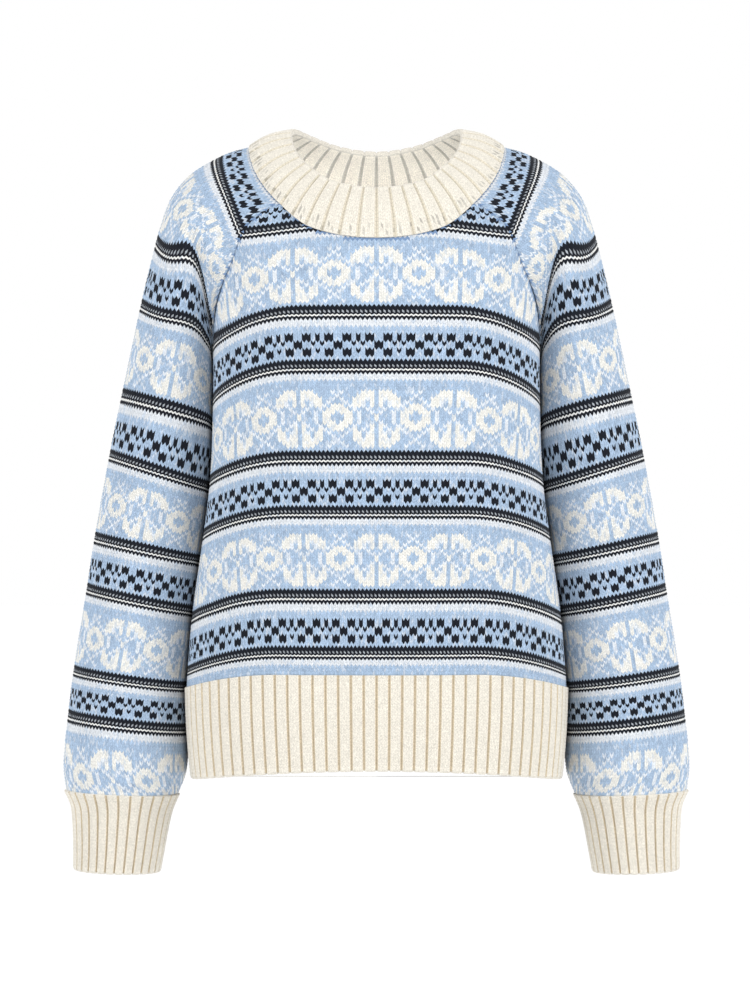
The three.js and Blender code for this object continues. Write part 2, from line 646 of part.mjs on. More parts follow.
function neckband() {
  const normal = (share, down) => {
    if (down === 1) return neckbandNormal(wrapped(share));
    const held = Math.min(Math.max(down, STEP_BAND), 1 - STEP_BAND);
    return normalOf(neckbandPoint, share, held, STEP_ACROSS, STEP_BAND).multiplyScalar(-1);
  };
  const reach = 1 - SEAM_GAP / NECKBAND_HEIGHT;
  return ribbedWall({
    surface: (share, down) => neckbandPoint(share, down * reach),
    normal: (share, down) => normal(share, down === 1 ? 1 : down * reach),
    ribs: NECK_RIBS,
    bands: WELT_BANDS,
    wall: NECKBAND_WALL,
    wraps: true,
    inset: 0,
    flip: false,
  });
}

// The same wall for the other arm
function mirrored(geometry) {
  const copy = geometry.clone().scale(-1, 1, 1);
  const order = copy.index.array;
  for (let i = 0; i < order.length; i += 3) [order[i + 1], order[i + 2]] = [order[i + 2], order[i + 1]];
  copy.computeVertexNormals();
  return copy;
}

const FAIR_ISLE = new THREE.MeshStandardMaterial({ color: 0xa9c3e4, roughness: 0.95, metalness: 0 });
const CREAM_RIB = new THREE.MeshStandardMaterial({ color: 0xf3ecd9, roughness: 0.95, metalness: 0 });

const jumper = new THREE.Group();
function add(name, geometry, material) {
  const mesh = new THREE.Mesh(geometry, material);
  mesh.name = name;
  jumper.add(mesh);
}

const sleeveWall = sleevePanel();
const cuffWall = cuffRib();
add("front", bodyPanel(false), FAIR_ISLE);
add("back", bodyPanel(true), FAIR_ISLE);
add("sleeve_left", sleeveWall, FAIR_ISLE);
add("sleeve_right", mirrored(sleeveWall), FAIR_ISLE);
add("hem_rib_front", hemRib(false), CREAM_RIB);
add("hem_rib_back", hemRib(true), CREAM_RIB);
add("cuff_left", cuffWall, CREAM_RIB);
add("cuff_right", mirrored(cuffWall), CREAM_RIB);
add("neckband", neckband(), CREAM_RIB);

export default jumper;
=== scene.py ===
"""A fair isle jumper, knitted stitch by stitch over the forms of its solids.

Lengths are millimetres until a piece is finished, and metres after. Knitted rows count
down from the first dark row of the yoke stripe, in the same row units as the solids.
"""
import math
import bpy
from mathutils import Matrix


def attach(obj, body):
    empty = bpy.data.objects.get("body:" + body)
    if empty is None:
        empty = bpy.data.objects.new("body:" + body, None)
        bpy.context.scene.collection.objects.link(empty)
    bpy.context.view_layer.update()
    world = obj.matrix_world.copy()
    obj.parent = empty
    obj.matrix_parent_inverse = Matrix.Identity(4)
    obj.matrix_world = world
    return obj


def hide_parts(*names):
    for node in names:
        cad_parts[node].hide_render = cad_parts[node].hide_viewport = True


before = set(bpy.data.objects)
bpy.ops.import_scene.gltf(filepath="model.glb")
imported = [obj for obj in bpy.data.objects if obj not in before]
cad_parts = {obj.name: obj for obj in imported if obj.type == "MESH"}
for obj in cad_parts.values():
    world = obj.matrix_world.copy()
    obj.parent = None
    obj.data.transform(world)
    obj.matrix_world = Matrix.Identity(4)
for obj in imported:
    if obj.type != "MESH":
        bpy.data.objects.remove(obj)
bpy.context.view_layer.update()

from types import SimpleNamespace

import bpy
import numpy as np

WALL = 3.0
RIB_WALL = 3.2
RIB_RAISE = 1.6
NECK_ROW, UNDERARM_ROW, HEM_ROW, CUFF_ROW = -12, 30, 141, 198
SIDE_Y = 5.0
RING_POWER = 2.5
ARMPIT_BIAS = 1.75
SEAM_GAP = 0.32
ARM_CLEARANCE = 1.1
CLEARANCE_FADE_ROWS = 8
YOKE_FADE_ROWS = 20
UNDERARM_KEEP_ROWS = 6
RIDGE_ROOM_HEIGHT = 12
ARM_EDGE_SOFTNESS = 6
LEAST_SOFTNESS = 0.01
DROOP_START, DROOP_SPAN = 0.33, 0.69
HEM_DROOP_POWER = 1.5
HEM_RIBS, CUFF_RIBS, NECK_RIBS = 42, 28, 44
RIB_TOP_SHARE = 0.78
NECKBAND_BULGE = 3.5
NECKBAND_WALL = 4.0


def smooth_curve(x, y):
    """A smooth curve through points, straight beyond its ends"""
    last = len(x) - 1
    before = np.maximum(0, np.arange(last + 1) - 1)
    after = np.minimum(last, np.arange(last + 1) + 1)
    slopes = (y[after] - y[before]) / (x[after] - x[before])

    def at(value):
        value = np.asarray(value, float)
        i = np.clip(np.searchsorted(x, value) - 1, 0, last - 1)
        width = x[i + 1] - x[i]
        t = (value - x[i]) / width
        inside = np.clip(t, 0, 1)
        rise = (y[i + 1] - y[i]) / width
        bend = slopes[i] + slopes[i + 1] - 2 * rise
        turn = slopes[i] + inside * (3 * rise - 2 * slopes[i] - slopes[i + 1] + inside * bend)
        beyond = np.where(t < 0, t * slopes[i], np.where(t > 1, (t - 1) * slopes[i + 1], 0))
        return y[i] + width * (inside * turn + beyond)

    return at


def table(names, rows):
    """Every column of a table as a smooth curve against the first, by name"""
    values = np.array(rows, float)
    return SimpleNamespace(**{
        name: smooth_curve(values[:, 0], values[:, k]) for k, name in enumerate(names.split()) if k
    })


spine = table("row front_y front_z back_y back_z", [
    (-12, -87, -22, 90, 1),
    (0, -93, -58, 101, -42),
    (15, -103, -104, 108, -96),
    (30, -110, -149, 111, -150),
    (44, -113, -191, 109, -195),
    (71, -113, -274, 104, -278),
    (88, -111, -325, 102, -329),
    (115, -110, -401, 105, -405),
    (132, -112, -454, 109, -458),
    (141, -113, -479, 110, -483),
])
side = table("row half z", [
    (30, 155, -176), (44, 154.8, -219.5), (71, 157.5, -295.5), (88, 163.5, -347),
    (115, 174.5, -425), (132, 179, -477), (141, 180, -496),
])
hem = table("down half side_z front_y front_z back_y back_z", [
    (0, 180, -496, -113, -479, 110, -483),
    (0.35, 179, -526, -113, -510, 110, -514),
    (0.7, 177, -556, -111, -540, 108, -544),
    (1, 174.5, -580.5, -108, -566, 105, -570),
])
sleeve = table("row top_x top_y top_z in_x in_y in_z depth open lean bow", [
    (-12, 120.5, 2, 15, 92.5, 1, -17, 69, 64, 25.6, 0),
    (0, 147, 6, 8, 122.5, 1, -45, 64, 84, 20, 2),
    (10, 178, 10, -9, 135, 2, -84.5, 60, 106, 12, 10),
    (18, 196.5, 13, -32, 146.3, 3, -117, 60, 131, 6, 26),
    (25, 206, 15, -58, 153, 4.5, -150, 60, 156, 2, 44),
    (30, 211, 16, -76, 155, 5, -176, 60.5, 180, 0, 52),
    (44, 223.7, 20, -127, 151, 18, -190, 61, 180, 0, 26),
    (58, 234.5, 23, -176, 150.5, 24, -219, 61, 180, 0, 10),
    (71, 244.6, 25, -223, 151.5, 27, -251, 61, 180, 0, 2),
    (88, 254.6, 27, -271, 155, 29, -303, 61, 180, 0, 0),
    (115, 269.3, 28, -351.5, 164.5, 30, -374, 61.5, 180, 0, 0),
    (132, 277, 27, -402, 170.5, 29, -424, 62, 180, 0, 0),
    (159, 289, 24, -478, 176.5, 26, -494, 62.5, 180, 0, 0),
    (176, 295, 21, -528, 178, 22, -541, 61.5, 180, 0, 0),
    (188, 298.5, 18, -568, 181.5, 18, -576, 57.5, 180, 0, 0),
    (198, 296, 15, -594, 189.5, 15, -598, 50, 180, 0, 0),
])
cuff = table("down top_x top_z in_x in_z y depth", [
    (0, 296, -594, 189.5, -598, 15, 50),
    (0.18, 290, -607.5, 195.5, -611.5, 15, 44),
    (0.4, 288, -623, 199.5, -627, 14, 40.5),
    (0.7, 287, -647, 203.8, -650, 13, 38),
    (1, 287, -668.5, 207.6, -671, 12, 36.5),
])
neck = table("angle seam_z rim_z", [
    (-30, -66, -23), (0, -76.5, -30), (30, -66, -23), (50, -40, -8), (70, -11, 10),
    (80, 4, 20), (90, 15, 28), (100, 19, 33), (112, 16.5, 34.5), (130, 6, 30.5),
    (155, -8, 22), (180, -13, 18), (205, -8, 22),
])
NECK_SEAM = SimpleNamespace(half=120.5, side_y=2, front_y=-97, back_y=96)
NECK_RIM = SimpleNamespace(half=82, side_y=0, front_y=-80, back_y=68)


def point(x, y, z):
    return np.stack(np.broadcast_arrays(x, y, z), axis=-1).astype(float)


def unit(vectors):
    return vectors / np.maximum(np.linalg.norm(vectors, axis=-1, keepdims=True), 1e-9)


def smooth_step(x):
    t = np.clip(x, 0, 1)
    return t * t * (3 - 2 * t)


def loop_point(loop, height_of, angle):
    """A point of the neckline loop at an angle from the centre front"""
    turn = np.radians(angle)
    reach = np.where(np.cos(turn) > 0, loop.side_y - loop.front_y, loop.back_y - loop.side_y)
    return point(
        loop.half * np.sin(turn), loop.side_y - reach * np.cos(turn), height_of(np.abs(angle))
    )


def neck_seam(angle):
    return loop_point(NECK_SEAM, neck.seam_z, angle)


def neck_rim(angle):
    return loop_point(NECK_RIM, neck.rim_z, angle)


fine_rows = np.linspace(UNDERARM_ROW, HEM_ROW, 900)
fine_downs = np.linspace(0, 1, 300)


def body_reach(y, z):
    """How far the body or its hem rib reaches sideways at a depth y and height z"""
    row = np.interp(-z, -side.z(fine_rows), fine_rows)
    down = np.interp(-z, -hem.side_z(fine_downs), fine_downs)
    in_hem = z < side.z(HEM_ROW)
    front_y = np.where(in_hem, hem.front_y(down), spine.front_y(row))
    back_y = np.where(in_hem, hem.back_y(down), spine.back_y(row))
    half = np.where(in_hem, hem.half(down), side.half(row))
    depth = np.where(y < SIDE_Y, front_y, back_y)
    share = np.minimum(1, np.abs((y - SIDE_Y) / (depth - SIDE_Y)))
    raised = smooth_step((side.z(HEM_ROW) + RIDGE_ROOM_HEIGHT - z) / RIDGE_ROOM_HEIGHT) * RIB_RAISE
    return half * (1 - share ** RING_POWER) ** (1 / RING_POWER) + raised


def sleeve_own(across, row):
    """The left sleeve: across runs from -1 at the front seam over the arm to 1 at the back"""
    opened = np.radians(sleeve.open(row))
    top = point(sleeve.top_x(row), sleeve.top_y(row), sleeve.top_z(row))
    inside = point(sleeve.in_x(row), sleeve.in_y(row), sleeve.in_z(row))
    cosine = np.cos(opened)[..., None]
    centre = (inside - top * cosine) / (1 - cosine)
    turn = across * opened
    made = centre + (top - centre) * np.cos(turn)[..., None]
    risen = np.sin(math.pi * np.abs(across) ** ARMPIT_BIAS) ** 2
    made[..., 1] += sleeve.depth(row) * np.sin(turn)
    made[..., 2] += sleeve.lean(row) * np.sin(turn) + sleeve.bow(row) * risen
    return made


RAGLAN_ANGLE = math.degrees(math.asin(92.5 / NECK_SEAM.half))


def sleeve_point(across, row):
    across, row = np.broadcast_arrays(np.asarray(across, float), np.asarray(row, float))
    made = sleeve_own(across, row)
    fade = smooth_step((NECK_ROW + YOKE_FADE_ROWS - row) / YOKE_FADE_ROWS)[..., None]
    at_neck = neck_seam(90 + across * (90 - RAGLAN_ANGLE)) - sleeve_own(across, row * 0 + NECK_ROW)
    made = made + at_neck * fade
    near = smooth_step((row - UNDERARM_ROW) / CLEARANCE_FADE_ROWS)
    limit = body_reach(made[..., 1], made[..., 2]) + SEAM_GAP + (ARM_CLEARANCE - SEAM_GAP) * near
    soft = ARM_EDGE_SOFTNESS * near + LEAST_SOFTNESS
    over = (limit - made[..., 0]) / soft
    push = np.where(over > 1, limit - made[..., 0], soft * (np.maximum(over, -1) + 1) ** 2 / 4)
    made[..., 0] += np.where((row > UNDERARM_ROW) & (over > -1), push, 0)
    return made


def row_end(is_back, row):
    """Where a body row ends: on the raglan seam above the underarm, on the side seam below"""
    on_raglan = sleeve_point(1.0 if is_back else -1.0, np.minimum(row, UNDERARM_ROW))
    on_side = point(side.half(row), SIDE_Y, side.z(row))
    return np.where((row <= UNDERARM_ROW)[..., None], on_raglan, on_side)


def panel_droop(share):
    return smooth_step((share - DROOP_START) / DROOP_SPAN)


def hem_edge_droop(share):
    return 1 - np.maximum(0, np.cos(share * math.pi / 2)) ** HEM_DROOP_POWER


def along_row(across, centre_y, centre_z, end, droop):
    """One point of a body row that starts at the centre and ends at the side"""
    depth = SIDE_Y - centre_y
    end_share = np.clip((SIDE_Y - end[..., 1]) / depth, 0, 1)
    width = end[..., 0] / (1 - end_share ** RING_POWER) ** (1 / RING_POWER)
    last_turn = np.arctan2(end[..., 0] / width, end_share)
    plain_turn = np.arccos(end_share)
    turn = np.abs(across) * last_turn
    sine, cosine = np.sin(turn), np.cos(turn)
    out = (sine ** RING_POWER + np.abs(cosine) ** RING_POWER) ** (-1 / RING_POWER)
    x = width * out * sine
    y = SIDE_Y - depth * out * cosine
    reached = droop(np.arcsin(np.clip(x / end[..., 0] * np.sin(plain_turn), 0, 1)) / plain_turn)
    return point(np.sign(across) * x, y, centre_z + (end[..., 2] - centre_z) * reached)


def body_own(is_back, across, row):
    across, row = np.broadcast_arrays(np.asarray(across, float), np.asarray(row, float))
    centre_y = spine.back_y(row) if is_back else spine.front_y(row)
    centre_z = spine.back_z(row) if is_back else spine.front_z(row)
    return along_row(across, centre_y, centre_z, row_end(is_back, row), panel_droop)


def loop_angle_at(is_back, x):
    angle = np.degrees(np.arcsin(np.minimum(1, np.abs(x) / NECK_SEAM.half)))
    return 180 - angle if is_back else angle


def row_at_neckline(is_back, across_at):
    """The row where a column meets the neckline, given its share across at each row"""
    low = across_at(NECK_ROW) * 0 + NECK_ROW
    high = low + UNDERARM_ROW - NECK_ROW
    for _ in range(14):
        middle = (low + high) / 2
        made = body_own(is_back, across_at(middle), middle)
        above = made[..., 2] > neck.seam_z(loop_angle_at(is_back, made[..., 0]))
        low = np.where(above, middle, low)
        high = np.where(above, high, middle)
    return low


column_shares = np.linspace(0, 1, 241)
top_rows = {}
for is_back in (False, True):
    top_rows[is_back] = row_at_neckline(is_back, lambda row: column_shares + 0 * row)
    top_rows[is_back][-1] = NECK_ROW


def body_point(is_back, across, row):
    across, row = np.broadcast_arrays(np.asarray(across, float), np.asarray(row, float))
    made = body_own(is_back, across, row)
    top = np.interp(np.abs(across), column_shares, top_rows[is_back])
    at_top = body_own(is_back, across, top)
    on_loop = neck_seam(loop_angle_at(is_back, at_top[..., 0]))
    fade = 1 - smooth_step((row - top) / YOKE_FADE_ROWS)
    keep = smooth_step((UNDERARM_ROW - row) / UNDERARM_KEEP_ROWS)
    made[..., 1] += (on_loop[..., 1] - at_top[..., 1]) * fade * keep
    return made


def hem_point(is_back, across, down):
    across, down = np.broadcast_arrays(np.asarray(across, float), np.asarray(down, float))
    end = point(hem.half(down), SIDE_Y, hem.side_z(down))
    centre_y = hem.back_y(down) if is_back else hem.front_y(down)
    centre_z = hem.back_z(down) if is_back else hem.front_z(down)

    def droop(share):
        return panel_droop(share) * (1 - down) + hem_edge_droop(share) * down

    return along_row(across, centre_y, centre_z, end, droop)


def cuff_point(turn_share, down):
    turn = turn_share * 2 * math.pi
    centre_x = (cuff.top_x(down) + cuff.in_x(down)) / 2
    centre_z = (cuff.top_z(down) + cuff.in_z(down)) / 2
    return point(
        centre_x + (cuff.top_x(down) - centre_x) * np.cos(turn),
        cuff.y(down) + cuff.depth(down) * np.sin(turn),
        centre_z + (cuff.top_z(down) - centre_z) * np.cos(turn),
    )


def neckband_normal(angle):
    along = neck_seam(angle + 1) - neck_seam(angle - 1)
    return unit(np.cross(along, neck_rim(angle) - neck_seam(angle)))


def neckband_point(share, down):
    angle = share * 360
    angle = np.where(angle > 180, angle - 360, angle)
    down = np.asarray(down, float)[..., None]
    straight = neck_rim(angle) * (1 - down) + neck_seam(angle) * down
    return straight + neckband_normal(angle) * NECKBAND_BULGE * np.sin(math.pi * down)


def normals_of(surface, a, b, step_a, step_b, outward):
    """Directions across a surface of two numbers. outward is 1 or -1."""
    along_a = surface(a + step_a, b) - surface(a - step_a, b)
    along_b = surface(a, b + step_b) - surface(a, b - step_b)
    return unit(np.cross(along_a, along_b)) * outward


# The cloth's soft troughs as it hangs: which face (-1 the front, 1 the back), where each
# starts and ends in the jumper's x and z, how deep it is and how far it spreads
CREASES = [
    (-1, -153, -112, -157, -196, 3.0, 8),
    (-1, 151, -116, 155, -182, 2.5, 8),
    (-1, -140, -158, -84, -204, 1.6, 13),
    (-1, 138, -150, 96, -192, 1.3, 11),
    (-1, -143, -232, -112, -262, 1.2, 10),
    (-1, 146, -268, 108, -306, 1.5, 12),
    (-1, -236, -214, -190, -238, 2.0, 9),
    (-1, -250, -296, -198, -330, 1.6, 11),
    (-1, 228, -196, 186, -226, 1.7, 8),
    (-1, 262, -338, 206, -360, 1.9, 10),
    (-1, -272, -452, -214, -470, 1.3, 9),
    (-1, 276, -500, 216, -512, 1.6, 10),
    (-1, -168, -404, -122, -442, 1.8, 12),
    (-1, 170, -388, 132, -418, 1.4, 10),
    (-1, -44, -438, -38, -532, 1.6, 12),
    (-1, 86, -462, 92, -548, 1.2, 10),
    (1, -152, -118, -154, -188, 2.6, 9),
    (1, 150, -110, 156, -194, 3.0, 8),
    (1, -136, -166, -72, -222, 1.8, 14),
    (1, 134, -154, 90, -206, 1.4, 12),
    (1, -88, -300, 24, -318, 1.5, 16),
    (1, 118, -346, 52, -372, 1.2, 13),
    (1, -240, -232, -188, -250, 1.9, 9),
    (1, 246, -262, 194, -286, 1.6, 10),
    (1, -268, -420, -210, -446, 1.5, 10),
    (1, 272, -470, 214, -482, 1.4, 9),
    (1, 30, -446, 36, -536, 1.5, 12),
]


def pressed(made, normals, mirror=False):
    """The points of a surface, pressed in along the troughs that cross it"""
    depth = np.zeros(made.shape[:-1])
    for facing, x0, z0, x1, z1, deep, spread in CREASES:
        hand = -1 if mirror else 1
        start = np.array([hand * x0, z0])
        run = np.array([hand * x1, z1]) - start
        off = made[..., [0, 2]] - start
        along = np.clip(off @ run / (run @ run), 0, 1)
        far = np.linalg.norm(off - along[..., None] * run, axis=-1)
        faces = smooth_step((facing * normals[..., 1] - 0.25) / 0.5)
        depth += deep * np.exp(-(far / spread) ** 2) * faces
    return made - normals * depth[..., None]


# Where each course of the 44-row repeat begins: dark stripe, floral band, dark stripe, checks
COURSE_ROWS = [
    (0, 0), (1, 1.29), (2, 1.9), (3, 2.45), (4, 2.92), (5, 4.05),
    (28, 27.18), (29, 28.55), (30, 29.2), (31, 29.75), (32, 30.25), (33, 31.47), (44, 44),
]
REPEAT = 44
course_table = np.array(COURSE_ROWS, float)


def row_of(course):
    repeats = np.floor(course / REPEAT)
    return repeats * REPEAT + np.interp(course - repeats * REPEAT, *course_table.T)


def course_of(row):
    repeats = np.floor(row / REPEAT)
    return repeats * REPEAT + np.interp(row - repeats * REPEAT, *course_table.T[::-1])


def risen(course, rise):
    """A line of stitches raised by a share of the smaller of the two courses that it parts"""
    row = row_of(course)
    room = np.minimum(row_of(course + 1) - row, row - row_of(course - 1))
    return course_of(row + rise * room)


WALE_TABLE_STEP = 0.5


class Wales:
    """Where the columns of stitches run over a panel: from its middle outwards, each as wide as
    stitch_width says at that row, until the panel's edge cuts them off"""

    def __init__(self, surface, last_row, stitch_width):
        self.rows = np.arange(NECK_ROW, last_row + WALE_TABLE_STEP / 2, WALE_TABLE_STEP)
        self.even = np.linspace(0, 1, 161)
        self.shares, self.counts = {}, {}
        for hand in (-1, 1):
            made = surface(hand * self.even[None, :], self.rows[:, None])
            steps = np.linalg.norm(np.diff(made, axis=1), axis=-1)
            run = np.concatenate([np.zeros((len(steps), 1)), np.cumsum(steps, axis=1)], axis=1)
            self.counts[hand] = run[:, -1] / stitch_width(self.rows)
            self.shares[hand] = np.array([
                np.interp(self.even, r / r[-1], self.even) for r in run
            ])

        self.most = math.ceil(2 * max(count.max() for count in self.counts.values())) / 2

    def half_count(self, hand, row):
        return np.interp(row, self.rows, self.counts[hand])

    def share(self, wale, row):
        """The share across the panel of a place so many stitches from its middle wale"""
        wale, row = np.broadcast_arrays(np.asarray(wale, float), np.asarray(row, float))
        r = np.clip((row - self.rows[0]) / WALE_TABLE_STEP, 0, len(self.rows) - 1.001)
        r0 = r.astype(int)
        found = np.zeros_like(wale)
        for hand in (-1, 1):
            q = np.clip(np.abs(wale) / self.half_count(hand, row), 0, 1) * (len(self.even) - 1.001)
            q0 = q.astype(int)
            grid = self.shares[hand]
            fr, fq = r - r0, q - q0
            low = grid[r0, q0] * (1 - fq) + grid[r0, q0 + 1] * fq
            high = grid[r0 + 1, q0] * (1 - fq) + grid[r0 + 1, q0 + 1] * fq
            found = np.where(wale * hand > 0, hand * (low * (1 - fr) + high * fr), found)
        return found


# Yarns as the eye sees them, red, green and blue out of 255, with painted shade mixed into the two groove
# colours, a painted shade for the pick-up holes, and a cream painted lighter for the neckband's inside
YARNS = {
    "blue": (148, 167, 189),
    "pale": (194, 198, 203),
    "navy": (13, 18, 27),
    "white": (210, 210, 208),
    "petal": (206, 205, 200),
    "lattice": (197, 202, 208),
    "cream": (204, 199, 188),
    # The two groove colours below are partly the yarn's own tone and partly painted shade in the rib grooves
    "tan_and_groove_shade": (190, 177, 153),
    "pale tan": (198, 191, 175),
    # Painted light: a lighter copy of the cream for the inside of the neckband
    "painted light cream": (246, 238, 222),
    "dash": (140, 145, 151),
    # Painted shade for the small holes at the neckband's pick-up
    "pick-up shade": (96, 96, 92),
    "thread": (110, 134, 167),
}
YARN_LETTERS = {
    "B": "blue", "P": "pale", "N": "navy", "W": "white", "F": "petal", "L": "lattice", "S": "dash",
}


def linear(colour):
    c = np.asarray(colour, float) / 255
    return np.where(c <= 0.04045, c / 12.92, ((c + 0.055) / 1.055) ** 2.4)


# Half of the floral band, from the middle of a flower (left) to the middle of a diamond
FLORAL = [
    "BFFFBBBBLB",
    "BFFFFBBBBL",
    "BFLFFFBBLB",
    "BFBLFFBLBB",
    "BFBLFFLBFF",
    "BBLBBLBFFF",
    "BLBBLBFFFB",
    "FBBBLBFFBB",
    "FBBBLBFFBB",
    "BLBBLBFFFB",
    "BFLBBLBFFF",
    "BFBLBFLBFF",
    "BFLBFFBLBB",
    "BFFBFFBBLB",
    "BFFLFFBBBL",
    "BFFFFBBBLB",
    "BFFFBBBLBB",
]
CHECKS = [
    "NNBBNNBNB",
    "NNBBNNBNB",
    "BBNNBBNBN",
    "BBNNBBBBB",
    "NNBBNNBNB",
    "NNBBNNBBB",
]
CHECKS_PHASE = 2
FLOWER_REPEAT = 18


def chart_letter(course, stitch):
    """The yarn of one stitch, by its course and how many stitches it is from a flower"""
    n = course % REPEAT
    if n in (0, 2, 4, 28, 30, 32):
        return "N"
    if n in (1, 29):
        return "S"
    if n in (3, 31):
        return "W"
    if n in (5, 6, 33, 34):
        return "P"
    if 10 <= n <= 26:
        from_flower = abs((stitch + 9) % FLOWER_REPEAT - 9)
        return FLORAL[n - 10][from_flower]
    if 37 <= n <= 42:
        return CHECKS[n - 37][(stitch + CHECKS_PHASE) % 9]
    return "B"


MARL_SHADES, PALE_SHADES, OTHER_SHADES = 0.07, 0.035, 0.12
PALE_FLECKS, BLUE_FLECKS = 0.13, 0.16


def chart_colours(courses, stitches, dice):
    """Linear colours of the stitch legs, with the yarn's own marl"""
    letters = np.array([[chart_letter(int(c), int(s)) for c in courses] for s in stitches])
    dark_legs = letters[::2]
    dark_legs[dark_legs == "S"] = "N"
    colours = np.zeros(letters.shape + (3,))
    for letter, yarn in YARN_LETTERS.items():
        colours[letters == letter] = linear(YARNS[yarn])
    shift = dice.normal(0, 1, letters.shape)[..., None]
    marl = np.isin(letters, ["B"])[..., None]
    pale = np.isin(letters, ["P", "F", "W", "L"])[..., None]
    dark = (letters == "N")[..., None]
    colours *= 1 + shift * np.where(marl, MARL_SHADES, np.where(pale, PALE_SHADES, OTHER_SHADES))
    fleck = (dice.random(letters.shape) < PALE_FLECKS)[..., None]
    colours = np.where(fleck & marl, colours * 0.55 + linear(YARNS["pale"]) * 0.45, colours)
    fleck = (dice.random(letters.shape) < BLUE_FLECKS)[..., None]
    colours = np.where(fleck & pale, colours * 0.6 + linear(YARNS["blue"]) * 0.4, colours)
    return np.where(dark, np.maximum(colours, 0.003), np.clip(colours, 0, 1))


# How a stitch stands: the rise of its legs in courses, and its crown and edges in millimetres
V_RISE = 0.8
CROWN = 0.75
GROOVE = 0.35
INSIDE_COLUMNS, INSIDE_COURSES = 6, 4


class Knitting:
    """A piece as it is made: its points, its triangles and what each corner carries"""

    def __init__(self):
        self.points, self.faces = [], []
        self.colours, self.lays, self.strands, self.creased = [], [], [], []
        self.count = 0

    def add_points(self, made):
        ids = np.arange(self.count, self.count + len(made))
        self.points.append(made)
        self.count += len(made)
        return ids

    def add_faces(self, faces, colours, lays, strands, creased):
        self.faces.append(faces)
        self.colours.append(np.repeat(colours[:, None, :], 3, axis=1))
        self.lays.append(lays)
        self.strands.append(strands)
        self.creased.append(np.full(len(faces), creased))

    def grid(self, ids, kept, colours, lay, normals, crown, flip):
        """Cells between lines of points. With a crown each is a raised stitch leg."""
        k, j = np.nonzero(kept)
        corner_ids = [ids[k, j], ids[k + 1, j], ids[k + 1, j + 1], ids[k, j + 1]]
        corner_lays = [lay[k, j], lay[k + 1, j], lay[k + 1, j + 1], lay[k, j + 1]]
        mirrored = (k % 2 == 1).astype(float)
        x0, x1 = mirrored, 1 - mirrored
        nought, one = np.zeros_like(x0), np.ones_like(x0)
        corner_strands = [
            np.stack(pair, axis=-1) for pair in ((x0, nought), (x1, nought), (x1, one), (x0, one))
        ]
        order = [3, 2, 1, 0] if flip else [0, 1, 2, 3]
        own = colours[k, j]
        if crown is None:
            for a, b, c in ((0, 1, 2), (0, 2, 3)):
                pick = [order[a], order[b], order[c]]
                self.add_faces(
                    np.stack([corner_ids[p] for p in pick], axis=-1),
                    own,
                    np.stack([corner_lays[p] for p in pick], axis=1),
                    np.stack([corner_strands[p] * 0 + 0.5 for p in pick], axis=1),
                    False,
                )
            return
        placed = np.concatenate(self.points)
        centres = sum(placed[c] for c in corner_ids) / 4
        centres = centres + normals[k, j] * crown[k, j][:, None]
        centre_ids = self.add_points(centres)
        centre_lay = sum(corner_lays) / 4
        centre_strand = np.full((len(k), 2), 0.5)
        for a in range(4):
            p, q = order[a], order[(a + 1) % 4]
            self.add_faces(
                np.stack([corner_ids[p], corner_ids[q], centre_ids], axis=-1),
                own,
                np.stack([corner_lays[p], corner_lays[q], centre_lay], axis=1),
                np.stack([corner_strands[p], corner_strands[q], centre_strand], axis=1),
                True,
            )

    def zip_edges(self, outer, outer_at, inner, inner_at, colour, strip, closed):
        """Joins two edges with a strip of triangles, by how far along each point is"""
        if closed:
            outer, inner = np.append(outer, outer[0]), np.append(inner, inner[0])
            turn = 2 * math.pi
            outer_at = np.append(outer_at, outer_at[0] + turn)
            inner_at = np.append(inner_at, inner_at[0] + turn)
        span = max(outer_at[-1], inner_at[-1]) - min(outer_at[0], inner_at[0])
        start = min(outer_at[0], inner_at[0])
        faces, lays = [], []
        i = j = 0
        low, high = strip

        def lay_of(at, v):
            return (0.01 + 0.98 * (at - start) / span, v)

        while i < len(outer) - 1 or j < len(inner) - 1:
            step_outer = j == len(inner) - 1 or (i < len(outer) - 1 and outer_at[i + 1] <= inner_at[j + 1])
            here = [lay_of(outer_at[i], high), lay_of(inner_at[j], low)]
            if step_outer:
                faces.append((outer[i], outer[i + 1], inner[j]))
                lays.append((here[0], lay_of(outer_at[i + 1], high), here[1]))
                i += 1
            else:
                faces.append((outer[i], inner[j + 1], inner[j]))
                lays.append((here[0], lay_of(inner_at[j + 1], low), here[1]))
                j += 1
        faces, lays = np.array(faces), np.array(lays)
        colours = np.repeat(colour[None, :], len(faces), axis=0)
        self.add_faces(faces, colours, lays, np.full((len(faces), 3, 2), 0.5), False)

    def turn_last_strip(self):
        self.faces[-1] = self.faces[-1][:, ::-1]
        self.lays[-1] = self.lays[-1][:, ::-1]

    def make(self, name, finish, node, slot, flat, mirror=False):
        """The finished piece, in metres, in place of its solid"""
        points = np.concatenate(self.points) / 1000
        faces = np.concatenate(self.faces)
        colours = np.concatenate(self.colours)
        lays = np.concatenate(self.lays)
        strands = np.concatenate(self.strands)
        creased = np.concatenate(self.creased)
        if mirror:
            points = points * (-1, 1, 1)
            faces, colours, lays, strands = (part[:, ::-1] for part in (faces, colours, lays, strands))
        mesh = bpy.data.meshes.new(name)
        mesh.vertices.add(len(points))
        mesh.vertices.foreach_set("co", np.ascontiguousarray(points, np.float32).ravel())
        mesh.loops.add(faces.size)
        mesh.loops.foreach_set("vertex_index", np.ascontiguousarray(faces, np.int32).ravel())
        mesh.polygons.add(len(faces))
        mesh.polygons.foreach_set("loop_start", np.arange(0, faces.size, 3, dtype=np.int32))
        mesh.update(calc_edges=True)
        mesh.shade_smooth()
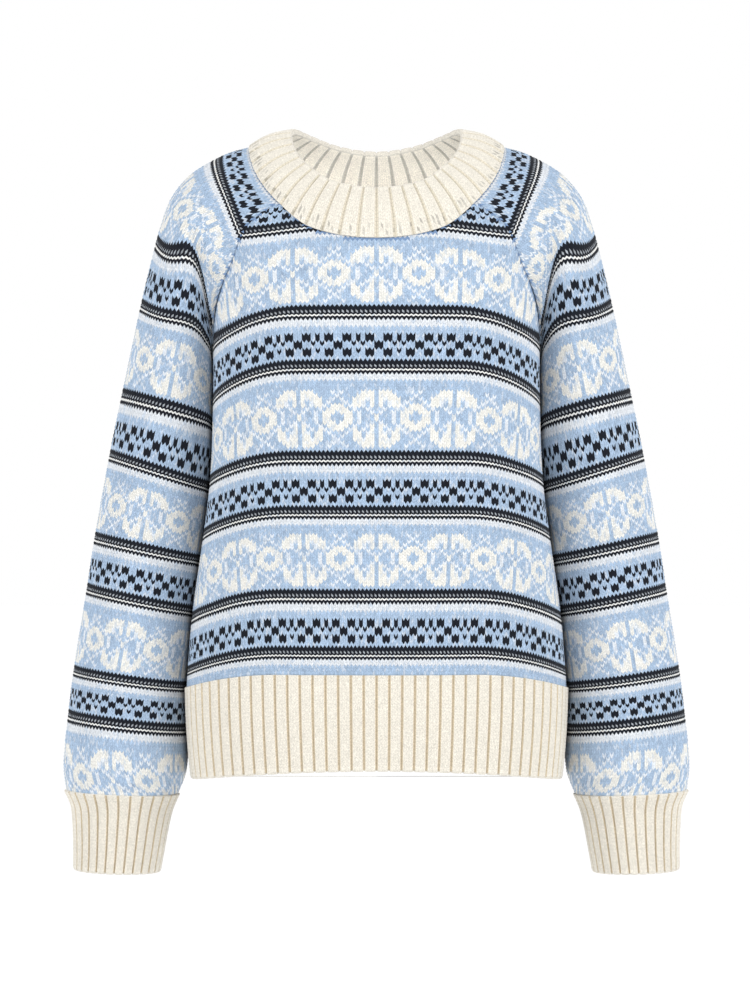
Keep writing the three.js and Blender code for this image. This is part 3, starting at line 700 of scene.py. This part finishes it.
        # Sharp edges lie between stitch legs, never across the middle of one
        leg_tops = np.zeros(len(points), bool)
        leg_tops[faces[creased][:, 0 if mirror else 2]] = True
        knitted = np.zeros(len(points), bool)
        knitted[faces[creased].ravel()] = True
        ends = np.zeros(len(mesh.edges) * 2, np.int32)
        mesh.edges.foreach_get("vertices", ends)
        ends = ends.reshape(-1, 2)
        sharp = knitted[ends].all(axis=1) & ~leg_tops[ends].any(axis=1)
        mesh.attributes.new("sharp_edge", "BOOLEAN", "EDGE").data.foreach_set("value", sharp)
        for layer, values in (("OFBake", lays), ("Yarn", strands)):
            mesh.uv_layers.new(name=layer).data.foreach_set(
                "uv", np.ascontiguousarray(values, np.float32).ravel()
            )
        rgba = np.concatenate([colours, np.ones(colours.shape[:2] + (1,))], axis=-1)
        attribute = mesh.color_attributes.new(name="yarn", type="FLOAT_COLOR", domain="CORNER")
        attribute.data.foreach_set("color", np.ascontiguousarray(rgba, np.float32).ravel())
        mesh.materials.append(finish)
        piece = bpy.data.objects.new(name, mesh)
        bpy.context.scene.collection.objects.link(piece)
        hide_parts(node)
        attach(piece, "root")
        return piece


def area_of(grid, kept):
    """Flat area in square metres of the kept cells of a grid in millimetres"""
    one = np.cross(grid[1:, :-1] - grid[:-1, :-1], grid[1:, 1:] - grid[:-1, :-1])
    two = np.cross(grid[1:, 1:] - grid[:-1, :-1], grid[:-1, 1:] - grid[:-1, :-1])
    cells = (np.linalg.norm(one, axis=-1) + np.linalg.norm(two, axis=-1)) / 2
    return float(cells[kept].sum()) / 1e6


def border_loop(kept):
    """The corners round the kept cells, in order, as (column, line) pairs"""
    after = {}
    columns, lines = kept.shape
    for k, j in zip(*np.nonzero(kept)):
        for dk, dj, a, b in (
            (0, -1, (k, j), (k + 1, j)),
            (1, 0, (k + 1, j), (k + 1, j + 1)),
            (0, 1, (k + 1, j + 1), (k, j + 1)),
            (-1, 0, (k, j + 1), (k, j)),
        ):
            kk, jj = k + dk, j + dj
            if not (0 <= kk < columns and 0 <= jj < lines and kept[kk, jj]):
                after[a] = b
    start = min(after)
    loop, here = [start], after[start]
    while here != start:
        loop.append(here)
        here = after[here]
    return np.array(loop)


def knitted_panel(surface, outward, wales, last_row, top_course_at, phase, seed, flat, mirror=False):
    """A stranded knit panel: raised stitches outside, a plain face inside, closed at its edges"""
    dice = np.random.default_rng(seed)
    half_count = wales.most
    last_course = float(course_of(last_row))
    first_line = int(math.floor(course_of(NECK_ROW)))
    knitting = Knitting()

    def lines_of(columns, courses, zig):
        """Points, normals and places on the chart, cut to the panel's seams"""
        wale = np.repeat(columns[:, None], len(courses), axis=1)
        course = risen(np.repeat(courses[None, :], len(columns), axis=0), zig[:, None])
        course[:, -1] = last_course
        top = top_course_at(columns)[:, None]
        course = np.minimum(np.maximum(course, top), last_course)
        row = row_of(course)
        limit = np.where(wale < 0, wales.half_count(-1, row), wales.half_count(1, row))
        inside = (np.abs(wale) < limit - 1e-6) & (course > top + 1e-6)
        wale = np.clip(wale, -limit, limit)
        share = wales.share(wale, row)
        made = surface(share, row)
        held_share = np.clip(share, -0.99, 0.99)
        held_row = np.maximum(row, NECK_ROW + 0.3)
        normals = normals_of(surface, held_share, held_row, 0.006, 0.25, outward)
        return pressed(made, normals, mirror), normals, wale, course, inside

    def kept_cells(inside):
        return inside[1:, 1:] | inside[:-1, 1:] | inside[1:, :-1] | inside[:-1, :-1]

    # The outside, one cell for each leg of each stitch
    columns = np.arange(-2 * half_count, 2 * half_count + 1) / 2
    courses = np.append(np.arange(first_line, math.floor(last_course) + 1), last_course).astype(float)
    zig = np.where(np.arange(len(columns)) % 2 == 1, -V_RISE, 0.0)
    made, normals, wale, course, inside = lines_of(columns, courses, zig)
    kept = kept_cells(inside)
    ids = knitting.add_points((made - normals * GROOVE).reshape(-1, 3)).reshape(made.shape[:2])
    stitches = np.floor((columns[1:] + columns[:-1]) / 2 + 0.5).astype(int) + phase
    colours = chart_colours(courses[:-1], stitches, dice)
    whole = inside[1:, 1:] & inside[:-1, 1:] & inside[1:, :-1] & inside[:-1, :-1]
    stitched = kept & ~whole & (np.arange(kept.shape[1]) % 2 == 0)
    colours[stitched] = linear(YARNS["thread"])
    lay = np.stack([
        0.01 + 0.98 * (wale + half_count) / (2 * half_count),
        0.99 - 0.86 * (course - first_line) / (last_course - first_line),
    ], axis=-1)
    middles = (normals[:-1, :-1] + normals[1:, 1:]) / 2
    crown = CROWN * (0.85 + 0.3 * dice.random(kept.shape))
    facing = np.cross(made[1:, :-1] - made[:-1, :-1], made[:-1, 1:] - made[:-1, :-1])
    flip = float((facing * middles)[kept].sum()) < 0
    knitting.grid(ids, kept, colours, lay, middles, crown, flip)

    # The inside, plain and coarser
    inner_columns = columns[::INSIDE_COLUMNS]
    if inner_columns[-1] != columns[-1]:
        inner_columns = np.append(inner_columns, columns[-1])
    inner_courses = courses[::INSIDE_COURSES]
    if inner_courses[-1] != courses[-1]:
        inner_courses = np.append(inner_courses, courses[-1])
    inner_made, inner_normals, inner_wale, inner_course, inner_inside = lines_of(
        inner_columns, inner_courses, inner_columns * 0
    )
    inner_kept = kept_cells(inner_inside)
    inner_ids = knitting.add_points((inner_made - inner_normals * WALL).reshape(-1, 3)).reshape(
        inner_made.shape[:2]
    )
    inner_lay = np.stack([
        0.01 + 0.98 * (inner_wale + half_count) / (2 * half_count),
        0.1 - 0.09 * (inner_course - first_line) / (last_course - first_line),
    ], axis=-1)
    plain = np.zeros(inner_kept.shape + (3,)) + linear(YARNS["blue"]) * 0.62
    knitting.grid(inner_ids, inner_kept, plain, inner_lay, None, None, not flip)

    # The edges, where the two faces meet
    def edge(ids, wale, course, kept):
        loop = border_loop(kept)
        k, j = loop.T
        middle = (first_line + last_course) / 2
        angle = np.arctan2(wale[k, j] / half_count, (course[k, j] - middle) / (last_course - middle))
        angle = np.unwrap(angle)
        if angle[-1] < angle[0]:
            angle, k, j = angle[::-1], k[::-1], j[::-1]
        start = int(np.argmin(np.abs((angle + math.pi) % (2 * math.pi) - math.pi - 0.001)))
        angle = np.concatenate([angle[start:], angle[:start] + 2 * math.pi])
        k, j = np.roll(k, -start), np.roll(j, -start)
        return ids[k, j], angle - 2 * math.pi * round(angle[0] / (2 * math.pi))

    outer_edge = edge(ids, wale, course, kept)
    inner_edge = edge(inner_ids, inner_wale, inner_course, inner_kept)
    knitting.zip_edges(*outer_edge, *inner_edge, linear(YARNS["blue"]) * 0.7, (0.105, 0.12), True)
    if flip:
        knitting.turn_last_strip()
    width, length = flat
    return knitting, (width, length, min(area_of(made, kept), width * length))


LEGS_ON_RIB = 6


def even_shares(surface):
    """Shares along a band that part it into equal lengths"""
    shares = np.linspace(0, 1, 721)
    steps = np.linalg.norm(np.diff(surface(shares, shares * 0 + 0.5), axis=0), axis=-1)
    run = np.concatenate([[0], np.cumsum(steps)])
    return lambda share: np.interp(share, run / run[-1], shares)


def rib_columns(ribs):
    """Where the columns of a rib's stitches stand, how far they are raised, and their kind"""
    edge = (1 - RIB_TOP_SHARE) / 2
    own = np.concatenate([[0], edge + RIB_TOP_SHARE * np.arange(LEGS_ON_RIB + 1) / LEGS_ON_RIB])
    shares = np.concatenate([(rib + own) / ribs for rib in range(ribs)] + [[1]])
    place = np.arange(len(shares)) % (LEGS_ON_RIB + 2)
    crest = np.sin(math.pi * (place - 1) / LEGS_ON_RIB) * 0.3
    raised = np.where(place == 0, 0, RIB_RAISE + crest)
    zig = np.where((place > 0) & (place % 2 == 0), 0.0, -V_RISE)
    groove = (place[:-1] == 0) | (place[:-1] == LEGS_ON_RIB + 1)
    return shares, raised, zig, groove


def ribbed_piece(surface, outward, ribs, rows, wall, wraps, seed, groove_yarn_and_shade, picked_up=False, mirror=False):
    """A ribbed band with a soft rolled edge, knitted outside and inside. One that is picked up from a
    neckline has its seam at the far end, with small holes there drawn as grey specks of painted shade."""
    dice = np.random.default_rng(seed)
    shares, raised, zig, groove = rib_columns(ribs)
    shares = even_shares(surface)(shares)
    # Courses from the seam to the free edge
    courses = np.arange(rows + 1).astype(float)
    down = courses[None, :] + zig[:, None]
    down[:, 0], down[:, -1] = 0, rows
    down = np.clip(down, 0, rows) / rows
    if picked_up:
        down = 1 - down
    share = np.repeat(shares[:, None], rows + 1, axis=1)
    base = surface(share, down)
    held = np.clip(down, 0.02, 0.98)
    held_share = share if wraps else np.clip(share, 0.004, 0.996)
    normals = normals_of(surface, held_share, held, 0.002, 0.02, outward)
    base = pressed(base, normals, mirror)
    outer = base + normals * raised[None, :].T[..., None]
    # The rolled edge, then back up inside
    edge, edge_normal = base[:, -1], normals[:, -1]
    along = unit(base[:, -1] - base[:, -3])
    radius = (raised[:, None] + wall) / 2
    rolled = []
    for angle in np.linspace(0, math.pi, 6)[1:]:
        middle = edge + edge_normal * (raised[:, None] - radius)
        outward_part = edge_normal * radius * math.cos(angle)
        rolled.append(middle + outward_part + along * radius * math.sin(angle) * 0.7)
    inner_rise = (RIB_RAISE - raised)[:, None, None] * 0.8
    inner = (base - normals * (wall - inner_rise))[:, :-1][:, ::-1]
    lines = np.concatenate([outer, np.stack(rolled, axis=1), inner], axis=1)
    line_normals = np.concatenate(
        [normals, np.repeat(edge_normal[:, None], 5, axis=1), -normals[:, :-1][:, ::-1]], axis=1
    )
    line_normals[:, rows + 1:rows + 6] = unit(
        lines[:, rows + 1:rows + 6] - (edge + edge_normal * (raised[:, None] - radius))[:, None]
    )
    knitting = Knitting()
    count = len(shares) - 1 if wraps else len(shares)
    ids = knitting.add_points(lines[:count].reshape(-1, 3)).reshape(count, -1)
    if wraps:
        ids = np.concatenate([ids, ids[:1]])
    kept = np.ones((len(shares) - 1, lines.shape[1] - 1), bool)
    cell_normals = unit(line_normals[:-1, :-1] + line_normals[1:, 1:])
    outside = np.arange(kept.shape[1]) < rows
    crown = np.where(groove[:, None], 0.15, np.where(outside[None, :], 0.5, 0.3)) * np.ones(kept.shape)
    shift = 1 + dice.normal(0, 0.025, kept.shape)[..., None]
    # Painted shade: the groove colour is partly the yarn's own tone and partly painted shade in the rib
    # grooves, except on the rolled edge
    tan_and_groove_shade = np.repeat(groove[:, None], kept.shape[1], axis=1)
    rolling = (np.arange(kept.shape[1]) >= rows) & (np.arange(kept.shape[1]) < rows + 5)
    tan_and_groove_shade = tan_and_groove_shade & ~rolling[None, :]
    colours = np.where(tan_and_groove_shade[..., None], linear(YARNS[groove_yarn_and_shade]), linear(YARNS["cream"]))
    within = np.arange(kept.shape[1]) >= rows + 5
    if picked_up:
        # Painted light: inside the band the cream is painted lighter than outside. Its grooves are left plain
        # cream, so they are darker by comparison.
        colours[:, within] = np.where(
            tan_and_groove_shade[:, within, None], linear(YARNS["cream"]), linear(YARNS["painted light cream"])
        )
        # Painted shade: grey specks between stitches in the first rows from the seam stand for the shade in
        # small pick-up holes
        between_stitches = np.isin(np.arange(len(groove)) % (LEGS_ON_RIB + 2), (2, 4, 7))
        line = np.arange(kept.shape[1])
        pickup_gap_shade = between_stitches[:, None] & ((line >= 1) & (line <= 3))[None, :]
        pickup_gap_shade &= dice.random(kept.shape) < 0.5
        pickup_gap_shade_weight = dice.uniform(0.15, 0.6, kept.shape)[..., None] * pickup_gap_shade[..., None]
        colours = colours * (1 - pickup_gap_shade_weight) + linear(YARNS["pick-up shade"]) * pickup_gap_shade_weight
    colours = colours * shift
    line_lay = np.concatenate([np.linspace(0.99, 0.2, rows + 6), np.linspace(0.2, 0.05, rows + 1)[1:]])
    lay = np.stack(np.broadcast_arrays(
        (0.01 + 0.98 * shares)[:, None], line_lay[None, :]
    ), axis=-1)
    facing = np.cross(lines[1:, :-1] - lines[:-1, :-1], lines[:-1, 1:] - lines[:-1, :-1])
    flip = float((facing * cell_normals)[:, :rows].sum()) < 0
    knitting.grid(ids, kept, np.clip(colours, 0, 1), lay, cell_normals, crown, flip)
    # The seam edge, and the two ends of a band that isn't a tube
    at = shares * 2 * math.pi
    seam_colour = linear(YARNS["cream"])
    if wraps:
        knitting.zip_edges(ids[:-1, 0], at[:-1], ids[:-1, -1], at[:-1], seam_colour, (0.01, 0.02), True)
    else:
        knitting.zip_edges(ids[:, 0], at, ids[:, -1], at, seam_colour, (0.01, 0.02), False)
    if not flip:
        knitting.turn_last_strip()
    if not wraps:
        half = (lines.shape[1]) // 2
        for column, turned in ((0, flip), (-1, not flip)):
            chain = ids[column]
            one, two = chain[:half + 1], chain[half:][::-1]
            knitting.zip_edges(
                one, np.linspace(0, 1, len(one)), two, np.linspace(0, 1, len(two)), seam_colour,
                (0.025, 0.035), False
            )
            if turned:
                knitting.turn_last_strip()
    return knitting, area_of(base, np.ones((len(shares) - 1, rows), bool))


class Wire:
    """One output of a node, for use in sums"""

    def __init__(self, finish, socket):
        self.finish, self.socket = finish, socket

    def math(self, operation, *values):
        return self.finish.node("ShaderNodeMath", {"operation": operation}, dict(enumerate(values)))

    def __add__(self, other):
        return self.math("ADD", self, other)

    __radd__ = __add__

    def __sub__(self, other):
        return self.math("SUBTRACT", self, other)

    def __rsub__(self, other):
        return self.math("SUBTRACT", other, self)

    def __mul__(self, other):
        return self.math("MULTIPLY", self, other)

    __rmul__ = __mul__

    def sine(self):
        return self.math("SINE", self)

    def size(self):
        return self.math("ABSOLUTE", self)

    def at_most(self, other):
        return self.math("MINIMUM", self, other)

    def at_least(self, other):
        return self.math("MAXIMUM", self, other)


class Finish:
    """A material, written as sums of wires"""

    def __init__(self, name):
        self.material = bpy.data.materials.new(name)
        self.material.use_nodes = True
        self.tree = self.material.node_tree
        self.tree.nodes.clear()

    def node(self, kind, settings, inputs, output=0):
        made = self.tree.nodes.new(kind)
        for name, value in settings.items():
            setattr(made, name, value)
        for key, value in inputs.items():
            if isinstance(value, Wire):
                self.tree.links.new(value.socket, made.inputs[key])
            else:
                made.inputs[key].default_value = value
        return Wire(self, made.outputs[output])

    def noise(self, place, scale, detail):
        return self.node("ShaderNodeTexNoise", {}, {"Vector": place, "Scale": scale, "Detail": detail})

    def mix(self, factor, one, two, blend="MIX"):
        settings = {"data_type": "RGBA", "blend_type": blend}
        return self.node("ShaderNodeMix", settings, {"Factor": factor, 6: one, 7: two}, 2)

    def surface(self, inputs):
        skin = self.node("ShaderNodeBsdfPrincipled", {}, inputs)
        output = self.tree.nodes.new("ShaderNodeOutputMaterial")
        self.tree.links.new(skin.socket, output.inputs["Surface"])
        return self.material


def wool(name, sheen, bump_depth):
    """Soft spun wool: plied strands, a fine marl, loose fibres, and painted shade where the stitch legs part
    """
    finish = Finish(name)
    yarn = finish.node("ShaderNodeAttribute", {"attribute_name": "yarn"}, {}, "Color")
    place = finish.node("ShaderNodeTexCoord", {}, {}, "Object")
    strand = finish.node("ShaderNodeUVMap", {"uv_map": "Yarn"}, {})
    along = finish.node("ShaderNodeSeparateXYZ", {}, {0: strand}, "X")
    over = finish.node("ShaderNodeSeparateXYZ", {}, {0: strand}, "Y")
    marl = finish.noise(place, 1100, 2.0)
    fibres = finish.noise(place, 2400, 3.0)
    ply = ((along * 1.6 + over * 1.1) * (2 * math.pi)).sine()
    off_middle = (along - 0.5).size().at_least((over - 0.5).size()) * 2
    # Painted shade: the colour darkens by up to 22 per cent towards the edges of each stitch leg, where the
    # legs part. The bump dips there too.
    leg_edge_dip_and_shade = (off_middle - 0.62).at_least(0) * 2.2
    shade = 1 - leg_edge_dip_and_shade.at_most(1) * 0.22
    light = shade * (0.5 + marl)
    tone = finish.node("ShaderNodeCombineXYZ", {}, {0: light, 1: light, 2: light})
    colour = finish.mix(1.0, yarn, tone, "MULTIPLY")
    height = ply * 0.22 + fibres * 0.5 + marl * 0.3 - leg_edge_dip_and_shade.at_most(1) * 0.3
    bump = finish.node(
        "ShaderNodeBump", {}, {"Strength": 0.55, "Distance": bump_depth, "Height": height}, "Normal"
    )
    return finish.surface({
        "Base Color": colour,
        "Roughness": 0.93,
        "Specular IOR Level": 0.18,
        "Sheen Weight": sheen,
        "Sheen Roughness": 0.55,
        "Normal": bump,
    })


fair_isle_wool = wool("fair_isle_wool", 0.06, 0.0005)
cream_wool = wool("cream_wool", 0.22, 0.0004)

# How wide one stitch is, which the photograph shows narrowing towards the hem
body_stitch = table("row width", [(-12, 4.5), (20, 4.33), (62, 3.97), (108, 3.69), (122, 3.58), (141, 3.5)])
sleeve_stitch = table("row width", [(-12, 4.3), (20, 4.1), (62, 3.9), (108, 3.8), (150, 3.75), (198, 3.7)])
SLEEVE_PHASE = 4


def body_top_course(is_back, wales):
    def at(columns):
        half = wales.half_count(1, NECK_ROW)
        top = row_at_neckline(is_back, lambda row: wales.share(np.abs(columns), columns * 0 + row))
        top = np.where(np.abs(columns) >= half, NECK_ROW, top)
        return course_of(top)

    return at


for node, is_back, seed in (("front", False, 11), ("back", True, 12)):
    def body_surface(across, row, is_back=is_back):
        return body_point(is_back, across, row)

    wales = Wales(body_surface, HEM_ROW, body_stitch.width)
    knitting, flat = knitted_panel(
        body_surface, 1 if is_back else -1, wales, HEM_ROW, body_top_course(is_back, wales), 0, seed,
        (0.49, 0.5),
    )
    knitting.make(node + "_knit", fair_isle_wool, node, "fair_isle", flat)

# The sleeve's stripes sit up to a few rows higher than an even count would put them
sleeve_rise = table("row rows", [
    (-12, 0), (30, 0), (44, 0), (58, 1.6), (72, 3.4), (80, 1.8), (88, 0.2), (116, 1), (132, 1.4),
    (160, 0.9), (176, 3.2), (188, 1.8), (198, 0),
])


def sleeve_surface(across, row):
    return sleeve_point(across, row - sleeve_rise.rows(row))


sleeve_wales = Wales(sleeve_surface, CUFF_ROW, sleeve_stitch.width)
for node, mirror, seed in (("sleeve_left", False, 13), ("sleeve_right", True, 14)):
    knitting, flat = knitted_panel(
        sleeve_surface, -1, sleeve_wales, CUFF_ROW, lambda columns: columns * 0 + course_of(NECK_ROW),
        SLEEVE_PHASE, seed, (0.36, 0.66), mirror,
    )
    knitting.make(node + "_knit", fair_isle_wool, node, "fair_isle", flat, mirror)

HEM_REACH = 1 - SEAM_GAP / 2 / hem.half(0)
HEM_ROWS, CUFF_ROWS, NECKBAND_ROWS = 26, 23, 14
for node, is_back, seed in (("hem_rib_front", False, 15), ("hem_rib_back", True, 16)):
    def hem_surface(share, down, is_back=is_back):
        return hem_point(is_back, (2 * share - 1) * HEM_REACH, down)

    knitting, area = ribbed_piece(
        hem_surface, 1 if is_back else -1, HEM_RIBS, HEM_ROWS, RIB_WALL, False, seed, "tan_and_groove_shade"
    )
    knitting.make(node + "_knit", cream_wool, node, "cream_rib", (0.49, 0.09, min(area, 0.49 * 0.09)))

for node, mirror, seed in (("cuff_left", False, 17), ("cuff_right", True, 18)):
    knitting, area = ribbed_piece(
        cuff_point, -1, CUFF_RIBS, CUFF_ROWS, RIB_WALL, True, seed, "tan_and_groove_shade", False, mirror
    )
    knitting.make(
        node + "_knit", cream_wool, node, "cream_rib", (0.27, 0.076, min(area, 0.27 * 0.076)), mirror
    )


def band_surface(share, down):
    return neckband_point(share % 1.0, down)


knitting, area = ribbed_piece(
    band_surface, -1, NECK_RIBS, NECKBAND_ROWS, NECKBAND_WALL, True, 19, "pale tan", True
)
knitting.make("neckband_knit", cream_wool, "neckband", "cream_rib", (0.64, 0.05, min(area, 0.64 * 0.05)))

SCALE = 0.95
CAMERA_BACK = 3.2
scene = bpy.context.scene
scene.view_settings.view_transform = "Standard"

camera_data = bpy.data.cameras.new("camera")
camera_data.lens = 36 * CAMERA_BACK / SCALE
camera = bpy.data.objects.new("camera", camera_data)
camera.location = (-0.0014, -CAMERA_BACK, -0.31825)
camera.rotation_euler = (math.radians(90), 0, 0)
scene.collection.objects.link(camera)
scene.camera = camera

world = bpy.data.worlds.new("studio")
scene.world = world
world.use_nodes = True
world.node_tree.nodes["Background"].inputs["Color"].default_value = (1, 1, 1, 1)
world.node_tree.nodes["Background"].inputs["Strength"].default_value = 1.0


def soft_light(name, place, aim, size, power):
    data = bpy.data.lights.new(name, "AREA")
    data.size = size
    data.energy = power
    light = bpy.data.objects.new(name, data)
    light.location = place
    light.visible_camera = False
    away = np.array(place) - np.array(aim)
    light.rotation_euler = (
        math.acos(away[2] / np.linalg.norm(away)), 0, math.atan2(away[1], away[0]) + math.pi / 2
    )
    scene.collection.objects.link(light)


soft_light("right_key", (3.0, -2.7, 1.3), (0, 0, -0.3), 2.0, 89)
soft_light("left_key", (-3.0, -2.7, 1.3), (0, 0, -0.3), 2.0, 75)
soft_light("low_fill", (0.3, -4.0, -0.6), (0, 0, -0.2), 1.2, 15)
soft_light("neck_fill", (0, -0.03, -0.11), (0, 0.085, 0), 0.1, 0.16)

floor_finish = Finish("pale_floor")
floor_place = floor_finish.node("ShaderNodeTexCoord", {}, {}, "Object")
floor_grain = floor_finish.noise(floor_place, 3, 2.0)
floor_material = floor_finish.surface({
    "Base Color": (0.93, 0.93, 0.93, 1),
    "Roughness": floor_grain * 0.1 + 0.8,
    "Specular IOR Level": 0.2,
    "Emission Color": (1, 1, 1, 1),
    "Emission Strength": 0.08,
})
bpy.ops.mesh.primitive_circle_add(vertices=64, radius=30, fill_type="NGON", location=(0, 0, -1.35))
floor = bpy.context.object
floor.name = "floor"
floor.data.materials.append(floor_material)
